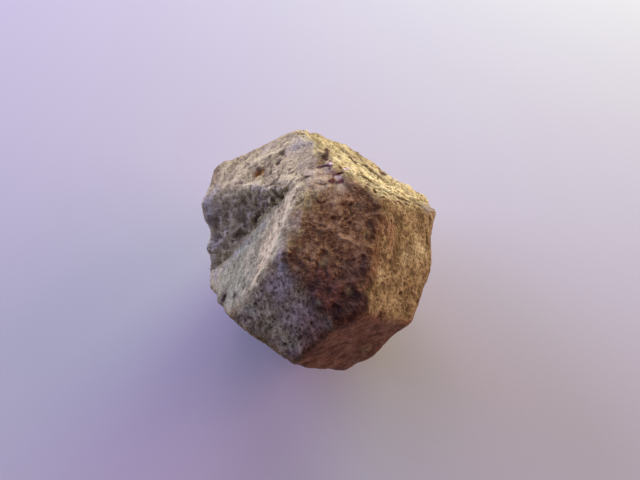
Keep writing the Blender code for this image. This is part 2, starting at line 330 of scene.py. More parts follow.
def near(points, route, radius):
    """1 at a place, or along a route of several places, falling smoothly to nothing about two radii
    away: exp of minus the square of the distance over the radius."""
    route = np.array(route, float).reshape(-1, 3)
    nearest = ((points - route[0]) ** 2).sum(axis=1)
    for start, end in itertools.pairwise(route):
        span = end - start
        along = np.clip((points - start) @ span / (span @ span), 0.0, 1.0)
        nearest = np.minimum(nearest, ((points - start - along[:, None] * span) ** 2).sum(axis=1))
    return np.exp(-nearest / radius**2)


def cutting_planes():
    """Groups of planes as (names, normals, distances, group numbers). A group of several planes
    cuts away only what lies outside all of them, which leaves a groove or a notch."""
    planes = []
    for group, (name, (azimuth, tilt, distance)) in enumerate(FACES.items()):
        planes.append((name, direction(azimuth, tilt), distance, group))
    groove = len(FACES)
    for name, (azimuth, tilt, distance) in (("wall", GROOVE_WALL), ("floor", GROOVE_FLOOR)):
        planes.append((name, direction(azimuth, tilt), distance, groove))
    for group, (bottom, sides) in enumerate(NOTCHES, groove + 1):
        for normal in (direction(*side) for side in sides):
            planes.append(("fresh", normal, float(normal @ bottom), group))
    names, normals, distances, groups = zip(*planes)
    return names, np.array(normals), np.array(distances), np.array(groups)


def sharp_reach(rays, normals, distances, groups):
    """How far each ray runs from the survey point before the nearest group cuts it off. A group
    cuts where the ray has left the last of its planes."""
    gap = distances - normals @ SURVEY_POINT
    facing = rays @ normals.T
    reach = np.where(facing > 1e-6, gap / np.maximum(facing, 1e-6), np.inf)
    by_group = [reach[:, groups == group].max(axis=1) for group in range(groups.max() + 1)]
    return np.min(by_group, axis=0)


def worn_offset(points, normals, distances, groups, wear):
    """How far points lie outside the worn solid, and each plane's share in the surface there.

    Within a group the offsets from its planes join by a smooth minimum, -g log sum exp(-s/g), and
    the groups join by a smooth maximum, w log sum exp(s/w), which rounds the edges by the wear w.
    """
    offsets = points @ normals.T - distances
    group_offsets, inner = [], np.empty_like(offsets)
    for group in range(groups.max() + 1):
        chosen = groups == group
        powers = np.exp(-np.clip(offsets[:, chosen] / GROOVE_WEAR, -60, 60))
        group_offsets.append(-GROOVE_WEAR * np.log(powers.sum(axis=1)))
        inner[:, chosen] = powers / powers.sum(axis=1, keepdims=True)
    group_offsets = np.stack(group_offsets, axis=1)
    highest = group_offsets.max(axis=1, keepdims=True)
    powers = np.exp((group_offsets - highest) / wear[:, None])
    total = powers.sum(axis=1, keepdims=True)
    shares = (powers / total)[:, groups] * inner
    return highest[:, 0] + wear * np.log(total[:, 0]), shares


def stretched(points, along, factor):
    """Points with their component along a direction shortened, so that a pattern there is long."""
    return points - np.outer(points @ along * (1.0 - 1.0 / factor), along)


def grain_directions():
    """Which way each sloping face's pits run: level along it, the cross product of up and its
    normal. On the groove's wall they run down it, up less its part along the normal."""
    up = direction(0, 0)
    sloping = [name for name in FACES if name not in ("top", "rest")]
    runs = {name: np.cross(up, direction(*FACES[name][:2])) for name in sloping}
    wall = direction(*GROOVE_WALL[:2])
    runs["wall"] = up - wall * (up @ wall)
    return {name: run / np.linalg.norm(run) for name, run in runs.items()}


def face_relief(points, texture, along, seed):
    """A face's swell, grain, lumps and crests, less its pits and cracks, in mm: each is a pattern
    of about 0 or -1 to 1 times its height or depth. With it, how deep in a pit or crack and how high on a
    crest each point is, from 0 to 1."""
    laid = warped(warped(points, 0.9, 0.25, seed + 20), 0.35, 0.12, seed + 25)
    laid = stretched(laid, along, texture.stretch)
    swell = noise(points, 3.2, seed) + 0.5 * noise(points, 1.4, seed + 1)
    grain = layered(noise, laid, 0.6, seed + 2, layers=3, fade=0.8)
    crest = layered(crests, laid, 1.1, seed + 30, layers=3, fade=0.5)
    lumpy = lumps(laid, 0.9, seed + 7) + 0.4 * lumps(laid, 0.45, seed + 8)
    cluster = smooth_step(noise(points, 2.4, seed + 5), -0.7, 0.5)
    coarse = bowls(laid, texture.pit, texture.share, seed + 10) * (0.45 + 0.55 * cluster)
    fine = bowls(laid, texture.pit * 0.5, texture.share, seed + 16)
    pitted = np.maximum(coarse, 0.6 * fine)
    broken = smooth_step(noise(points, 1.3, seed + 41), -0.1, 0.5)
    cracked = broken * (1.0 - smooth_step(np.abs(noise(laid, 1.0, seed + 42)), 0.0, 0.16))
    raised = texture.swell * swell + texture.grain * grain + texture.lump * lumpy
    raised += texture.crest * crest - texture.depth * pitted - texture.crack * cracked
    return raised, np.maximum(pitted, cracked * min(1.0, texture.crack / DARK_CRACK)), crest


def growth_ledges(points):
    """How far below the face each point of the growth ledges lies, in mm: a smooth step down at
    each riser, times what is left of the tread, which rises evenly back to the face."""
    reach = points @ direction(RISER_AZIMUTH, RISER_TILT) + 0.25 * noise(points, 1.6, 71)
    sunk = np.zeros(len(points))
    for riser, drop, tread in RISERS:
        risen = np.clip((reach - riser) / tread, 0.0, 1.0)
        sunk += drop * smooth_step(reach, riser, riser + RISER_RUN) * (1.0 - risen)
    return sunk


def hollows(points):
    """Depths in mm of the single hollows, each a ragged bowl: its depth times (1 - r^2)^1.5, where r
    is the distance from its middle over half its width."""
    ragged = warped(warped(points, 0.7, 0.25, 91), 0.3, 0.12, 94)
    deepest = np.zeros(len(points))
    for place, width, depth in HOLLOWS:
        away = ((ragged - np.array(place)) ** 2).sum(axis=1) / (width / 2) ** 2
        deepest = np.maximum(deepest, depth * np.clip(1.0 - away, 0.0, 1.0) ** 1.5)
    return deepest


def crumbling(points):
    """How deep in mm the crumbled spots are eaten, and how crumbled each point is from 0 to 1: the
    deepest of close bowls of two sizes and of cracks between them, times the spot's own depth."""
    ragged = warped(points, 0.4, 0.15, 111)
    eaten = np.maximum(bowls(ragged, 0.62, 0.8, 121), 0.7 * bowls(ragged, 0.36, 0.8, 131))
    eaten = np.maximum(eaten, 1.0 - smooth_step(np.abs(noise(ragged, 0.7, 141)), 0.0, 0.14))
    depth = sum(amount * near(points, route, radius) for route, radius, amount in CRUMBLED)
    return depth * eaten, np.clip(depth / ROUGH_SPOT, 0.0, 1.0)


def ribs_and_cracks(points):
    """Heights in mm of the single ribs and cracks: each one's height, made uneven by noise, times
    its nearness to its wavy route."""
    wavy = warped(points, 0.8, 0.18, 97)
    broken = 0.75 + 0.4 * noise(points, 0.7, 101)
    return sum(height * broken * near(wavy, route, width) for route, width, height in LINES)


def relief(points, shares, names):
    """Height of the weathered surface above the worn solid, in mm: each face's own relief, less its
    mean so that the face keeps its place, times the face's share, then the bulges, hollows,
    crumbled spots, ribs and cracks. With it, three marks: hollow in pits, crest on ridges, and
    specks where finely pitted."""
    height, hollow, crest, specks = np.zeros((4, len(points)))
    runs = grain_directions()
    for number, name in enumerate(dict.fromkeys(names), 1):
        if name == "rest":
            continue
        share = shares[:, [n == name for n in names]].sum(axis=1)
        chosen = share > 0.01
        texture = TEXTURES.get(name, WORN_FACE)
        along = runs.get(name, direction(90, 90))
        raised, pitted, crested = face_relief(points[chosen], texture, along, 100 * number)
        if name == "right_back":
            raised = raised - growth_ledges(points[chosen])
        share = share[chosen]
        height[chosen] += share * (raised - np.average(raised, weights=share))
        hollow[chosen] += share * pitted
        crest[chosen] += share * crested
        specks[chosen] += share * texture.specks
    for place, radius, gone in SMOOTH_SPOTS:
        left = 1.0 - gone * near(points, place, radius)
        height *= left
        hollow *= left
        crest = 0.5 + (crest - 0.5) * left
        specks *= left
    for place, radius, swollen in BULGES:
        height += swollen * near(points, place, radius)
    sunk = hollows(points)
    eaten, crumbled = crumbling(points)
    lines = ribs_and_cracks(points)
    # Ribs raise the crest mark and cracks lower it: the material paints the crest mark lighter as
    # highlight and the hollow mark darker as shade.
    hollow = np.maximum(hollow, np.clip((sunk + eaten - lines) / DARK_HOLLOW, 0.0, 1.0))
    crest = np.clip(crest + lines / HIGHLIGHT_RIB, 0.0, 1.0)
    marks = {"hollow": hollow, "crest": crest, "specks": np.maximum(specks, crumbled)}
    return height - sunk - eaten + lines, marks


def weathered_surface(rays):
    """Places on the finished surface, the planes' names and shares for its stains, and its marks.

    Along its ray each point starts on the sharp solid and moves, by Newton's method, to where the
    worn offset equals the relief: a step is (offset - height) over the offset's slope along the
    ray, which is the sum of each plane's share times the cosine between ray and normal.
    """
    names, normals, distances, groups = cutting_planes()
    reach = sharp_reach(rays, normals, distances, groups)
    sharp = SURVEY_POINT + rays * reach[:, None]
    wear = EDGE_WEAR * (1.0 + WEAR_CHANGE * noise(sharp, 2.0, 5))
    for place, radius, extra in SOFT_SPOTS:
        wear += extra * near(sharp, place, radius)
    _, shares = worn_offset(sharp, normals, distances, groups, np.full(len(rays), BLEND))
    height, marks = relief(sharp, shares, names)
    edge = 1.0 - shares.max(axis=1)
    height -= EDGE_CRUMBLE * edge * (1.0 + CRUMBLE_CHANGE * layered(noise, sharp, 0.9, 41))
    for _ in range(SOLVING_STEPS):
        points = SURVEY_POINT + rays * reach[:, None]
        offset, pull = worn_offset(points, normals, distances, groups, wear)
        slope = (pull * (rays @ normals.T)).sum(axis=1)
        step = (offset - height) / np.maximum(slope, LEAST_SLOPE)
        reach -= np.clip(step, -LONGEST_STEP, LONGEST_STEP)
    points = SURVEY_POINT + rays * reach[:, None]
    points[:, 2] = np.maximum(points[:, 2], -FACES["rest"][2])
    stirred = warped(sharp, 1.1, 0.35, 51)
    _, tints = worn_offset(stirred, normals, distances, groups, np.full(len(rays), STAIN_BLEND))
    return points, names, tints, marks


def linear(hex_colour):
    """An sRGB hex colour as linear red, green, blue and alpha: c / 12.92 for the darkest channels,
    ((c + 0.055) / 1.055)^2.4 for the rest."""
    channels = [int(hex_colour[start : start + 2], 16) / 255 for start in (1, 3, 5)]
    curve = [c / 12.92 if c <= 0.04045 else ((c + 0.055) / 1.055) ** 2.4 for c in channels]
    return (*curve, 1.0)


def add_node(tree, kind, settings, links):
    """Adds one node: settings set its options, its colour stops or its sockets; links feed it."""
    node = tree.nodes.new("ShaderNode" + kind)
    for key, value in settings.items():
        if key == "stops":
            ramp = node.color_ramp
            while len(ramp.elements) < len(value):
                ramp.elements.new(0.5)
            for element, (place, colour) in zip(ramp.elements, value):
                element.position, element.color = place, colour
        elif isinstance(key, int) or key in node.inputs:
            node.inputs[key].default_value = value
        else:
            setattr(node, key, value)
    for key, source in links.items():
        tree.links.new(source, node.inputs[key])
    return node


def bare_material(name):
    """A new material and its node tree, still empty."""
    material = bpy.data.materials.new(name)
    material.use_nodes = True
    material.node_tree.nodes.clear()
    return material, material.node_tree


# The colour sockets' numbers on a Mix node.
MIX_FACTOR, MIX_A, MIX_B, MIX_RESULT = 0, 6, 7, 2
# The sizes in mm of the rind's broad mottling, its grit and its dust, and the layers of detail.
MOTTLE, GRIT, DUST = (1.3, 6.0), (0.32, 4.0), (0.14, 2.0)
# The finest pits: how far apart they stand, how far grit pushes them about, and how unlike they are.
SPECK_SPACING, SPECK_STIR, SPECK_CHANGE = 0.42, 0.25, 0.6
# How far mottling, grit and dust each pull the rind's tone between dark and light, how far crests
# pull it, lighter on ridges as painted highlight, and how far a hollow and a speck darken it as painted
# shade.
TONE_PULLS = (0.6, 1.0, 0.8, 0.5)
HOLLOW_SHADE_PULL, SPECK_SHADE_PULL = -0.25, -0.45
# How much painted shade covers the stains in a hollow, what fresh garnet adds to the roughness, and
# what a speck adds to the bump's height.
HOLLOW_SHADE_COVER, GARNET_ROUGHNESS, SPECK_HEIGHT = 0.55, -0.45, -0.7
# The heights in mm that grit and dust stand up in the bump.
GRIT_HEIGHT, DUST_HEIGHT = 0.12, 0.06


def per_metre(size):
    """The pattern scale whose features are this many millimetres apart."""
    return 1.0 / (size * MM)


# The rind: dark, usual and light tone of its bare khaki coat, then of each stain over it, in the
# order in which they lie on each other.
RIND_TONES = ("#6A552F", "#907A4D", "#C0A976")
STAIN_TONES = {
    "brown": ("#573823", "#87623D", "#B29268"),
    "red_brown": ("#3C221A", "#64402F", "#8C5E48"),
    "pink_brown": ("#63402B", "#875E43", "#A57E60"),
    "green_grey": ("#85865F", "#B0B083", "#D2D0A0"),
    "pale": ("#A2946A", "#CFC08B", "#F8EAAA"),
    "slate": ("#83756A", "#AA9C8F", "#C9BDB0"),
    "fresh": ("#B8A37C", "#DAC598", "#EDDFB8"),
    "chalk": ("#A09A90", "#C4BFB3", "#DFDCD0"),
    # Dark spots of the rind, also laid as painted shade in the pits of the right back face's trough.
    "soot": ("#29140F", "#462B21", "#6C4F40"),
    "orange": ("#9A6224", "#CC9838", "#E5BC68"),
    "garnet": ("#280F12", "#5A2A2A", "#8E4A42"),
    # Glint: painted highlight, pink-white, for glints and lit rims on the chips.
    "glint": ("#E4C0B8", "#F4DDD4", "#FFF6F0"),
}
# The tone of the painted shade laid into hollows.
HOLLOW_SHADE_TONE = "#4A3826"
# Patches with a larger radius than this are ragged, and smaller ones are round.
SMALL_PATCH = 0.55
# How uneven the stains are, and the amounts at which one begins and fully covers.
STAIN_NOISE, STAIN_BEGINS, STAIN_COVERS = 0.28, 0.15, 0.85
# Fresh garnet and the painted glints, which are painted highlights, get no noise.
CLEAN_STAINS = ("garnet", "glint")

# How much of each stain each face carries.
STAIN_FACES = {
    "brown": {"top": 1.0, "front": 0.3, "under_right": 0.4},
    "red_brown": {"front": 0.1, "top": 0.05},
    "pink_brown": {"front": 0.9, "under_right": 0.5, "under_left": 0.3, "left": 0.25},
    "green_grey": {"floor": 0.75, "wall": 0.2, "left_back": 0.3, "under_left_back": 0.3},
    "pale": {"shoulder": 0.7, "floor": 0.4, "wall": 0.85, "left_back": 0.3, "right_back": 0.6},
    "slate": {"left": 0.5, "left_back": 0.3, "wall": 0.5},
    "fresh": {"fresh": 0.9},
}
# Patches of each stain: place or route, radius, and amount, where a minus takes it away. A stain's
# number in this list picks its noise.
STAIN_PATCHES = {
    "brown": (
        ((-0.7, 0.2, 9.1), 1.1, -0.5), ((-0.3, 2.0, 9.1), 1.3, -0.8), ((2.2, 1.3, 9.1), 0.9, 0.4),
        ((2.9, 1.3, 9.0), 0.7, 0.5), ((-1.6, -1.4, 9.1), 1.0, -0.4), ((-2.2, -3.2, 9.1), 0.9, -0.4),
        ((-7.2, -4.6, 1.2), 1.3, 0.35), ((1.3, 6.3, 7.5), 0.5, 0.6), ((-2.4, 4.6, 6.9), 0.9, 0.45),
        ((-2.9, 6.2, 6.1), 0.7, 0.6), ((-6.5, 4.5, 4.3), 1.0, 0.45), ((-5.6, 8.2, 3.6), 1.0, 0.5),
        ((-4.0, 8.3, 4.5), 0.8, 0.35), ((-5.2, 5.1, 4.9), 0.8, 0.5), ((7.0, -1.4, 7.9), 1.1, 0.7),
        ((6.9, -3.1, 7.4), 0.9, 0.5),
        # Along the right back face's trough and valley the brown is partly stain and partly painted shade.
        (((3.7, 7.4, 4.0), (6.6, 6.8, 2.2), (8.0, 5.4, 2.4), (9.5, 5.4, 1.2)), 0.5, 0.4),
        (((6.2, 8.4, 0.3), (7.5, 7.5, 0.5), (8.6, 6.4, 1.0), (9.7, 5.5, 0.8)), 0.5, 1.0),
        (((3.3, 9.1, 2.5), (4.5, 9.2, 1.2), (6.7, 7.7, 0.8), (8.1, 7.0, 0.3), (9.8, 5.3, 0.8)), 0.8, 0.4),
        ((9.0, 0.5, 5.3), 0.8, 0.2), ((4.6, -10.0, 2.6), 1.4, 0.5), ((-3.4, -8.6, 5.0), 0.8, 0.3),
        (((5.2, -2.8, 9.0), (5.6, -4.2, 8.6), (5.5, -5.4, 8.6)), 0.5, 0.8), ((-5.3, -3.8, 4.5), 0.6, 0.4),
        (BACK_VALLEY, 0.4, 1.0), (((3.7, 7.4, 4.0), (3.9, 8.0, 3.2), (3.9, 9.0, 1.5)), 0.6, 0.8),
        (((6.2, 8.6, 0.0), (7.1, 7.9, 0.1), (8.2, 7.2, 0.3)), 0.6, 0.8),
    ),
    "red_brown": (
        ((0.9, 0.3, 9.1), 0.9, 0.3), ((0.2, -2.0, 9.1), 0.7, 0.2), ((1.2, -5.8, 9.1), 1.3, 0.5),
        ((1.0, -7.2, 9.1), 1.2, 0.8), ((2.8, -8.6, 9.0), 1.7, 0.9), ((5.8, -0.6, 9.1), 1.0, 0.4),
        ((4.8, -4.9, 9.1), 1.1, 0.4), ((3.8, -5.9, 9.1), 1.0, 0.3), ((2.9, -10.2, 8.4), 1.2, 0.6),
        ((5.1, -6.4, 9.0), 0.9, 0.5), ((0.4, -8.2, 8.9), 0.9, 0.5), ((5.0, -9.4, 7.0), 1.0, 0.3),
        ((0.4, -10.0, 8.0), 1.0, 0.3),
    ),
    "pink_brown": (
        ((-0.2, -9.4, 7.8), 1.5, 0.6), ((-7.0, 2.0, 1.4), 1.6, 0.3), ((3.8, -4.2, 9.1), 0.8, 0.5),
        (((-1.5, -11.5, 4.8), (-0.4, -11.2, 6.2), (0.8, -10.7, 7.8)), 0.7, 0.8),
    ),
    "green_grey": (
        ((-9.4, 4.2, 1.9), 1.6, 0.6), ((-0.4, 0.5, 9.1), 0.8, 0.4), ((3.4, -7.5, 9.1), 0.6, 0.25),
        ((-3.9, -8.9, 4.4), 1.4, 0.4), ((-2.4, -9.6, 5.2), 1.2, 0.35), ((-0.4, 5.6, 8.0), 1.1, 0.4),
        ((-1.4, 7.3, 6.5), 1.2, 0.4), (LOWER_LEFT_RIM, 0.9, 0.5), ((-5.3, -7.4, 3.9), 1.0, 0.4),
        ((-0.2, 8.0, 6.6), 1.3, 0.8), ((0.8, 7.2, 7.0), 0.8, 0.5), ((0.7, -8.5, 9.0), 0.5, 0.4),
        ((11.0, 3.2, 2.3), 0.9, 0.6),
    ),
    "pale": (
        # Along the groove's upper rim, on the next line, the pale is partly painted highlight.
        (((-5.6, 4.2, 5.0), (-3.8, 3.2, 6.3), (-2.4, 2.7, 7.3)), 0.7, 0.8), ((-2.0, 1.4, 7.9), 1.2, 0.9),
        (((-2.2, 1.2, 7.6), (-3.3, 0.4, 6.4), (-4.0, -1.4, 5.6), (-4.2, -3.0, 6.2)), 1.0, 0.9),
        (((-2.2, 0.6, 8.1), (-2.9, -1.4, 7.6), (-3.6, -3.0, 7.0), (-4.4, -4.5, 6.3)), 0.7, 0.6),
        (((-4.6, -5.0, 6.0), (-5.1, -6.1, 5.2), (-5.5, -6.9, 4.4)), 0.5, 0.6),
        ((9.5, -1.7, 4.0), 1.8, 0.45), ((8.2, 1.0, 6.7), 0.7, 0.2), ((8.1, -3.7, 5.3), 0.9, 0.3),
        ((7.9, -7.6, 4.4), 0.9, 0.3), ((-0.2, 1.8, 9.1), 0.9, 0.7), ((0.6, 2.6, 9.0), 0.6, 0.6),
        ((2.4, 7.9, 4.6), 1.2, 0.4), ((0.6, 7.6, 6.9), 1.1, -0.7), ((-7.2, -4.6, 1.2), 1.6, -0.4),
        ((8.5, -2.6, 5.0), 0.8, 0.35), ((10.5, -1.2, 3.0), 0.7, 0.5), ((5.0, -10.2, 0.9), 1.2, 0.5),
        ((3.4, -7.5, 9.0), 0.5, 0.35), ((-1.8, -10.8, 5.0), 0.8, 0.3), ((-4.5, -9.3, 3.6), 0.9, 0.3),
        ((-0.9, -2.2, 9.0), 0.6, 0.4), ((4.3, 0.2, 9.1), 0.7, 0.35), ((4.6, 5.8, 5.0), 1.2, 0.4),
        # Painted highlight: the patch at (2.0, 3.6, 8.9) lights a chip's facet. Along BACK_RIB, the crest
        # on the next line and the groove's upper rim on the line after it, the pale is partly painted
        # highlight.
        ((7.4, 4.6, 4.0), 1.2, 0.3), ((2.0, 3.6, 8.9), 0.7, 1.2), (BACK_RIB, 0.5, 0.9),
        (((3.6, 4.4, 7.5), (4.6, 4.2, 6.9), (5.9, 4.4, 5.6), (7.2, 4.4, 4.6)), 0.5, 0.7),
        (((-5.9, 3.4, 4.5), (-4.4, 3.1, 5.8), (-3.1, 2.7, 6.5), (-1.8, 2.5, 7.7)), 0.5, 0.9),
        (((-2.3, -10.3, 4.8), (-1.2, -10.8, 5.3)), 0.8, 0.6), ((-3.3, -8.2, 5.6), 0.8, 0.4),
        (((-5.3, -6.7, 4.5), (-4.5, -6.7, 5.5)), 0.7, 0.4), ((-6.2, -7.5, 3.1), 0.7, 0.4),
        ((0.5, -8.8, 8.75), 0.6, 0.3), ((-3.8, -8.9, 4.6), 1.5, 0.35), ((4.8, -2.35, 9.1), 0.6, 0.6),
        ((6.0, -5.7, 7.9), 0.8, 0.4), ((1.0, -2.4, 9.1), 0.6, 0.3), ((1.0, -5.0, 9.1), 0.6, 0.5),
        ((-0.9, -3.8, 9.1), 0.5, 0.4), ((-1.7, -1.5, 9.0), 0.6, 0.4), (LOWER_LEFT_RIM, 0.9, 0.7),
        # Along the left rim the pale is partly pale crust and partly painted light.
        (LEFT_RIM, 1.0, 1.2),
    ),
    "slate": (
        ((-1.3, 7.0, 6.7), 1.6, 0.25), ((-0.4, 5.2, 8.0), 1.1, 0.2), ((-4.0, 8.4, 4.6), 1.2, 0.4),
        ((-2.7, -6.4, 7.5), 1.3, 0.2), ((-3.7, -9.0, 4.5), 1.8, -0.2), ((0.2, 7.9, 6.9), 1.2, 0.6),
        ((11.0, 3.0, 2.4), 1.2, 0.6),
        (((-0.9, -0.4, 9.1), (-1.5, -2.4, 9.0), (-2.4, -4.2, 8.6)), 0.6, 0.45),
    ),
    "chalk": (
        (((-4.2, 0.6, 4.0), (-4.9, 0.3, 2.8), (-6.8, -0.2, -0.3), (-8.2, -0.9, -2.2)), 0.8, 0.45),
        (((-9.9, 4.3, 1.3), (-8.9, 4.8, 2.4)), 0.9, 0.35), ((-4.0, 8.6, 4.5), 0.9, 0.3),
        # Along the left rim the chalk is partly chalky crust and partly painted light.
        (LEFT_RIM, 0.8, 0.4), ((-2.4, -5.2, 8.6), 0.5, 0.8),
        (((-5.2, 4.0, 5.3), (-3.8, 3.2, 6.3), (-2.4, 2.7, 7.3)), 0.5, 0.4), ((-1.6, 7.2, 6.4), 1.3, 0.3),
        ((-0.4, 5.2, 8.0), 1.0, 0.3), ((-0.7, 8.3, 6.3), 1.0, 0.3), ((-9.2, -2.0, -3.4), 0.9, 0.3),
    ),
    "fresh": (
        ((0.9, 3.6, 8.9), 0.8, 0.8), ((1.0, 3.0, 9.0), 0.8, 0.8), ((0.2, 3.9, 8.8), 0.6, 0.6),
        ((0.4, 2.4, 9.0), 0.5, 0.6), ((2.1, 3.6, 8.9), 0.6, -0.8), ((0.3, 5.0, 8.5), 0.5, 0.4),
        ((0.5, 2.6, 9.05), 0.8, 0.9), ((2.6, 2.1, 9.0), 0.4, 0.3),
    ),
    # Dark spots. In the pits of the right back face's trough they are painted shade; along the cracks and
    # the groove's bottom they darken the surface.
    "soot": (
        (((3.3, -8.8, 9.0), (4.1, -9.0, 9.0)), 0.9, 0.9), ((4.4, -8.3, 9.0), 0.7, 0.6),
        ((3.6, -8.6, 9.0), 0.6, 0.6), ((3.2, -10.1, 8.5), 1.0, 0.6), ((2.2, -9.3, 9.0), 0.6, 0.5),
        (((0.7, -7.1, 9.1), (1.9, -7.3, 9.1)), 0.8, 0.75), ((2.4, -10.6, 8.4), 0.7, 0.3),
        ((-0.7, -5.3, 9.1), 0.8, 0.8), (((-1.4, -6.4, 8.8), (-0.4, -6.4, 9.0)), 0.5, 0.4),
        ((0.3, -3.5, 9.1), 0.6, 0.6), ((6.5, -1.4, 8.6), 0.8, 0.6), ((4.8, -4.9, 9.1), 1.1, 0.8),
        ((5.0, -1.6, 9.1), 0.8, 0.5), ((-2.5, 5.4, 6.6), 0.7, 0.5), ((-5.8, 8.2, 3.5), 0.8, 0.5),
        ((1.2, 5.1, 8.7), 0.4, 0.4), ((-5.6, 5.1, 4.8), 0.6, 0.35), ((-7.0, -5.2, 1.6), 1.2, 0.2),
        ((-3.7, 1.6, 4.9), 0.45, 0.5), ((11.0, 2.9, 2.4), 0.6, 0.4), ((3.6, -6.4, 9.1), 0.8, 0.8),
        ((3.1, -5.2, 9.1), 0.6, 0.6), ((2.8, -7.8, 9.05), 0.5, -0.4), ((2.9, -9.8, 8.95), 0.5, -0.4),
        (((-6.9, -6.9, 2.4), (-5.3, -8.8, 3.0), (-4.3, -10.0, 2.7)), 0.35, 0.3),
        ((3.9, 7.9, 3.2), 0.55, 1.0), ((7.1, 7.9, 0.1), 0.55, 1.0), ((5.2, 7.7, 2.3), 0.35, 0.8),
        ((6.6, 6.2, 2.6), 0.35, 0.6), (RIM_CRACK, 0.22, 0.2),
        (((7.0, 2.6, 6.7), (8.0, 2.8, 5.6), (8.6, 2.7, 5.2)), 0.2, 0.35), ((-0.5, -9.4, 7.5), 0.9, 0.35),
        ((3.0, -5.0, 9.1), 0.5, 0.3),
        (((-2.6, 2.5, 6.9), (-3.9, 2.2, 5.2), (-5.1, 1.6, 3.1), (-6.0, 1.5, 1.8)), 0.35, 0.35),
        (UPPER_GROOVE_CRACK, 0.2, 0.7), (LOWER_GROOVE_CRACK, 0.2, 0.6), ((-8.1, -4.9, -0.2), 0.5, 0.65),
        ((-6.8, -5.4, 2.0), 0.4, 0.65), (((1.6, 7.0, 6.8), (1.5, 6.0, 8.0), (1.3, 5.3, 8.5)), 0.35, 0.9),
        (((-0.4, 3.25, 8.8), (0.2, 3.3, 8.8)), 0.12, 1.0), ((-8.2, -4.3, -0.8), 1.6, 0.4),
        ((-6.4, -6.1, 3.2), 0.6, 0.5),
    ),
    "orange": (
        ((-4.75, 5.5, 5.1), 0.5, 1.5), ((8.8, -4.8, 3.9), 0.8, 0.35), ((7.4, -5.9, 5.6), 0.6, 0.3),
        ((9.4, -2.4, 3.8), 0.8, 0.35), ((2.8, 8.4, 4.2), 0.5, 0.4), ((4.7, -2.4, 9.1), 0.6, 0.5),
        ((4.7, 6.5, 4.4), 0.4, 0.6),
    ),
    "garnet": (
        ((1.76, 4.9, 8.6), 0.17, 1.2), (((0.75, 4.2, 8.8), (1.2, 4.35, 8.8), (1.85, 4.25, 9.0)), 0.2, 1.1),
        ((1.7, 3.9, 9.0), 0.13, 0.9), (((2.05, 3.3, 8.8), (2.45, 3.5, 8.8), (2.9, 3.7, 8.8)), 0.14, 1.1),
        ((2.0, 2.95, 8.8), 0.17, 1.0), ((2.75, 2.9, 8.9), 0.18, 1.0),
        (((1.75, 2.7, 9.0), (2.8, 2.7, 8.9)), 0.3, 0.9), ((1.5, 5.1, 8.5), 0.25, 0.7),
        ((0.7, 6.6, 7.8), 0.16, 1.2), ((1.2, 6.5, 7.5), 0.16, 1.1), ((3.1, 4.1, 8.4), 0.12, 0.9),
    ),
    # Painted highlights: glints and lit white rims on the chips, and the lit pale facet between them.
    "glint": (
        ((2.0, 3.65, 8.9), 0.45, 0.55), ((1.85, 4.5, 9.0), 0.16, 1.7),
        (((2.3, 3.25, 8.75), (2.65, 3.2, 8.8)), 0.13, 1.6),
        (((3.1, 4.3, 8.3), (3.5, 4.6, 7.7)), 0.16, 1.5), (((1.5, 4.8, 8.6), (1.7, 5.1, 8.4)), 0.09, 0.8),
    ),
}  # fmt: skip


def stain_amounts(points, tints, names):
    """How thickly each stain lies at each point, from 0 to 1: its faces' shares, its patches' amounts
    times their nearness and noise are summed, and a smooth step sharpens the sum. Noise also pushes
    the larger patches about. The clean stains, fresh garnet and the painted highlights of its glints, get
    no noise."""
    ragged = warped(points, 0.8, 0.25, 61)
    amounts = {}
    for number, (stain, patches) in enumerate(STAIN_PATCHES.items()):
        amount = np.zeros(len(points))
        for face, share in STAIN_FACES.get(stain, {}).items():
            amount += share * tints[:, [name == face for name in names]].sum(axis=1)
        for route, radius, extra in patches:
            amount += extra * near(ragged if radius > SMALL_PATCH else points, route, radius)
        if stain not in CLEAN_STAINS:
            amount += STAIN_NOISE * layered(noise, points, 1.5, 500 + 10 * number, fade=0.7)
        amounts[stain] = smooth_step(amount, STAIN_BEGINS, STAIN_COVERS)
    return amounts


def tone_stops(tones):
    """Colour stops: dark, usual and light at a quarter, a half and three quarters of the tone."""
    dark, usual, light = (linear(tone) for tone in tones)
    return ((0.25, dark), (0.5, usual), (0.75, light))


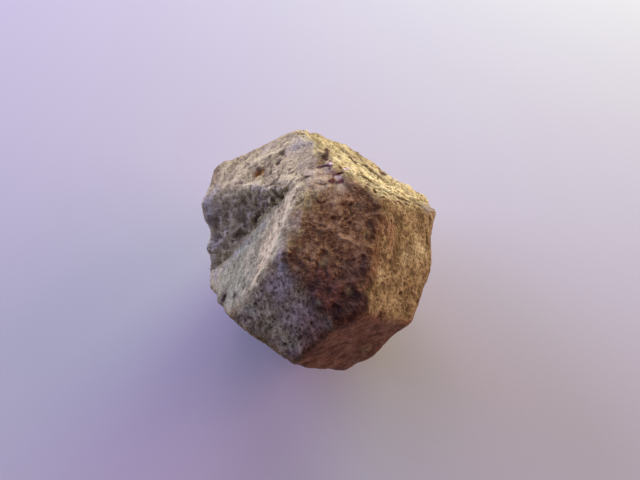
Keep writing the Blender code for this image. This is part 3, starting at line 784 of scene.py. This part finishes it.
def weathered_garnet():
    """Weathered almandine garnet: a dull, iron-stained rind, brown on top, straw and ochre to the
    right and purple-grey to the left, finely pitted, with dark hollows and, where chips broke off,
    small glossy spots of deep red garnet. One tone, summed from the patterns and the marks, picks
    the shade of every stain, so that light and dark grains run on from one stain to the next."""
    material, tree = bare_material("weathered_almandine_garnet")
    place = add_node(tree, "TexCoord", {}, {}).outputs["Object"]
    mottle, grit, dust = (
        add_node(
            tree, "TexNoise", {"Scale": per_metre(size), "Detail": detail, "Roughness": 0.7},
            {"Vector": place},
        )
        for size, detail in (MOTTLE, GRIT, DUST)
    )
    marks = {
        name: add_node(tree, "Attribute", {"attribute_name": name}, {}).outputs["Fac"]
        for name in ("hollow", "crest", "specks", *STAIN_TONES)
    }
    stirred = add_node(
        tree, "VectorMath", {"operation": "MULTIPLY_ADD", 1: (SPECK_STIR * MM,) * 3},
        {0: grit.outputs["Color"], 2: place}
    ).outputs[0]
    cells = add_node(tree, "TexVoronoi", {"Scale": per_metre(SPECK_SPACING)}, {"Vector": stirred})
    reach = add_node(
        tree, "Math", {"operation": "MULTIPLY_ADD", 1: SPECK_CHANGE},
        {0: cells.outputs["Color"], 2: cells.outputs["Distance"]}
    ).outputs[0]
    speck = add_node(
        tree, "MapRange",
        {"interpolation_type": "SMOOTHSTEP", "From Min": 0.35, "From Max": 0.55, "To Min": 1.0,
         "To Max": 0.0},
        {"Value": reach}
    ).outputs["Result"]
    speck = add_node(tree, "Math", {"operation": "MULTIPLY"}, {0: speck, 1: marks["specks"]}).outputs[0]

    # The tone: 0.5 less half of all the pulls, so that patterns at their middle value leave it there.
    tone = add_node(
        tree, "Math", {"operation": "MULTIPLY_ADD", 1: HOLLOW_SHADE_PULL, 2: 0.5 - sum(TONE_PULLS) / 2},
        {0: marks["hollow"]}
    ).outputs[0]
    # Specks darken the tone as painted shade in fine pits, and crests lighten it as painted highlight on
    # ridges; the hollow pull above is painted shade too.
    sources = (speck, mottle.outputs["Fac"], grit.outputs["Fac"], dust.outputs["Fac"], marks["crest"])
    for source, pull in zip(sources, (SPECK_SHADE_PULL, *TONE_PULLS)):
        tone = add_node(
            tree, "Math", {"operation": "MULTIPLY_ADD", 1: pull}, {0: source, 2: tone}
        ).outputs[0]

    # Each stain in its shade of that tone covers those before it as thickly as it lies.
    colour = add_node(tree, "ValToRGB", {"stops": tone_stops(RIND_TONES)}, {"Fac": tone}).outputs["Color"]
    for stain, tones in STAIN_TONES.items():
        toned = add_node(tree, "ValToRGB", {"stops": tone_stops(tones)}, {"Fac": tone}).outputs["Color"]
        colour = add_node(
            tree, "Mix", {"data_type": "RGBA"}, {MIX_FACTOR: marks[stain], MIX_A: colour, MIX_B: toned},
        ).outputs[MIX_RESULT]
    # Painted shade: hollows are darkened towards the shade tone, as far as the hollow mark reaches.
    hollow_shade = add_node(
        tree, "Math", {"operation": "MULTIPLY", 1: HOLLOW_SHADE_COVER}, {0: marks["hollow"]}
    ).outputs[0]
    colour = add_node(
        tree, "Mix", {"data_type": "RGBA", MIX_B: linear(HOLLOW_SHADE_TONE)}, {MIX_FACTOR: hollow_shade, MIX_A: colour}
    ).outputs[MIX_RESULT]

    # The rind is dull and unevenly so, and fresh garnet is glossier.
    dull = add_node(
        tree, "MapRange", {"From Min": 0.3, "From Max": 0.7, "To Min": 0.6, "To Max": 0.9},
        {"Value": grit.outputs["Fac"]}
    ).outputs["Result"]
    roughness = add_node(
        tree, "Math", {"operation": "MULTIPLY_ADD", 1: GARNET_ROUGHNESS}, {0: marks["garnet"], 2: dull}
    ).outputs[0]
    height = add_node(
        tree, "Math", {"operation": "MULTIPLY_ADD", 1: SPECK_HEIGHT}, {0: speck, 2: grit.outputs["Fac"]}
    ).outputs[0]
    coarse = add_node(
        tree, "Bump", {"Strength": 0.9, "Distance": GRIT_HEIGHT * MM}, {"Height": height}
    ).outputs["Normal"]
    bump = add_node(
        tree, "Bump", {"Strength": 0.7, "Distance": DUST_HEIGHT * MM},
        {"Height": dust.outputs["Fac"], "Normal": coarse}
    ).outputs["Normal"]
    # The IOR is that of the rind's clay and mica, lower than garnet's own 1.8.
    shader = add_node(
        tree, "BsdfPrincipled", {"IOR": 1.5, "Specular IOR Level": 0.15},
        {"Base Color": colour, "Roughness": roughness, "Normal": bump}
    ).outputs["BSDF"]
    add_node(tree, "OutputMaterial", {}, {"Surface": shader})
    return material


def garnet_crystal():
    """The whole crystal as one closed mesh, whose points carry their marks and stains: every ray's
    place on the surface, moved from the crystal's centre to where it stands, in metres."""
    rays, quads = ray_directions()
    points, names, tints, marks = weathered_surface(rays)
    mesh = bpy.data.meshes.new("weathered_garnet_crystal")
    mesh.from_pydata((points + CENTRE) * MM, [], quads.tolist())
    mesh.shade_smooth()
    marks |= stain_amounts(points, tints, names)
    for name, values in marks.items():
        mark = mesh.attributes.new(name, "FLOAT", "POINT")
        mark.data.foreach_set("value", values.astype(np.float32))
    crystal = bpy.data.objects.new("weathered_garnet_crystal", mesh)
    bpy.context.scene.collection.objects.link(crystal)
    mesh.materials.append(weathered_garnet())
    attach(crystal, "root")
    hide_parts("garnet_crystal")


def paper():
    """Matt grey-white paper: pressed wood fibre, uncoated, which gives it a plain even pallor with
    the slightest tooth and no gloss."""
    material, tree = bare_material("matt_paper")
    place = add_node(tree, "TexCoord", {}, {}).outputs["Object"]
    tooth = add_node(
        tree, "TexNoise", {"Scale": per_metre(0.5), "Detail": 3.0}, {"Vector": place}
    ).outputs["Fac"]
    bump = add_node(
        tree, "Bump", {"Strength": 0.15, "Distance": 0.05 * MM}, {"Height": tooth}
    ).outputs["Normal"]
    shader = add_node(
        tree, "BsdfPrincipled",
        {"Base Color": linear("#E4E4E4"), "Roughness": 0.9, "Specular IOR Level": 0.2}, {"Normal": bump}
    ).outputs["BSDF"]
    add_node(tree, "OutputMaterial", {}, {"Surface": shader})
    return material


# The side of the sheet, in metres.
PAPER_SIDE = 2.0


def paper_floor():
    """A square of paper at height 0, half its side each way from the middle."""
    mesh = bpy.data.meshes.new("paper_floor")
    half = PAPER_SIDE / 2
    corners = [(-half, -half, 0), (half, -half, 0), (half, half, 0), (-half, half, 0)]
    mesh.from_pydata(corners, [], [(0, 1, 2, 3)])
    mesh.materials.append(paper())
    sheet = bpy.data.objects.new("paper_floor", mesh)
    bpy.context.scene.collection.objects.link(sheet)


def lamp(name, azimuth, elevation, distance, size, power, colour):
    """A round, evenly bright lamp that looks at the crystal's centre from this distance. Its azimuth
    is turned from +X towards +Y, and its elevation is up from the floor."""
    light = bpy.data.lights.new(name, "AREA")
    light.shape, light.size, light.energy = "DISK", size, power
    light.color = linear(colour)[:3]
    back = direction(azimuth, 90 - elevation)
    thing = bpy.data.objects.new(name, light)
    thing.location = (CENTRE * MM + back * distance).tolist()
    thing.rotation_mode = "QUATERNION"
    thing.rotation_quaternion = (-Vector(back)).to_track_quat("-Z", "Y")
    bpy.context.scene.collection.objects.link(thing)


# Each lamp's azimuth and elevation in degrees, its distance and width in metres, its power in watts
# and its colour.
LAMPS = {
    "window_behind": (90.0, 12.0, 0.20, 0.22, 0.429, "#E4C9FF"),
    "wall_to_the_right": (10.0, 14.0, 0.28, 0.25, 0.553, "#FFC3D0"),
    "window_to_the_left": (150.0, 14.0, 0.28, 0.25, 0.925, "#BBBDFF"),
    "near_lamp": (60.0, 14.0, 0.12, 0.06, 0.0875, "#DFFFC6"),
}
ROOM_COLOUR, ROOM_STRENGTH = "#F0E7FF", 0.092


def lighting():
    """Low, soft light: a pale window behind, a cool one to the left, a warm wall to the right and a
    small near lamp at the upper right, with a little light from all round."""
    for name, settings in LAMPS.items():
        lamp(name, *settings)
    world = bpy.data.worlds.new("soft_room")
    world.use_nodes = True
    background = world.node_tree.nodes["Background"]
    background.inputs["Color"].default_value = linear(ROOM_COLOUR)
    background.inputs["Strength"].default_value = ROOM_STRENGTH
    bpy.context.scene.world = world


# The camera looks down at this angle to the floor, from this place as seen from the crystal's centre.
CAMERA_ELEVATION = 67.0
CAMERA_OFFSET = np.array([0.87, -36.25, 87.6])
# The focal length and the image's width in pixels, the sensor's width in mm, and the nearest and
# farthest distances that the camera sees, in metres.
FOCAL_PIXELS, IMAGE_WIDTH, SENSOR_WIDTH = 1000.0, 640.0, 36.0
NEAREST, FARTHEST = 0.005, 20.0


def camera():
    """The camera above and in front of the crystal: its lens is the focal length in pixels over the
    image's width, times the sensor's width."""
    lens = bpy.data.cameras.new("camera")
    lens.sensor_width = SENSOR_WIDTH
    lens.lens = FOCAL_PIXELS / IMAGE_WIDTH * SENSOR_WIDTH
    lens.clip_start, lens.clip_end = NEAREST, FARTHEST
    eye = bpy.data.objects.new("camera", lens)
    eye.location = ((CENTRE + CAMERA_OFFSET) * MM).tolist()
    eye.rotation_euler = (math.radians(90.0 - CAMERA_ELEVATION), 0.0, 0.0)
    bpy.context.scene.collection.objects.link(eye)
    bpy.context.scene.camera = eye


camera()
garnet_crystal()
paper_floor()
lighting()
bpy.context.scene.view_settings.view_transform = "Standard"
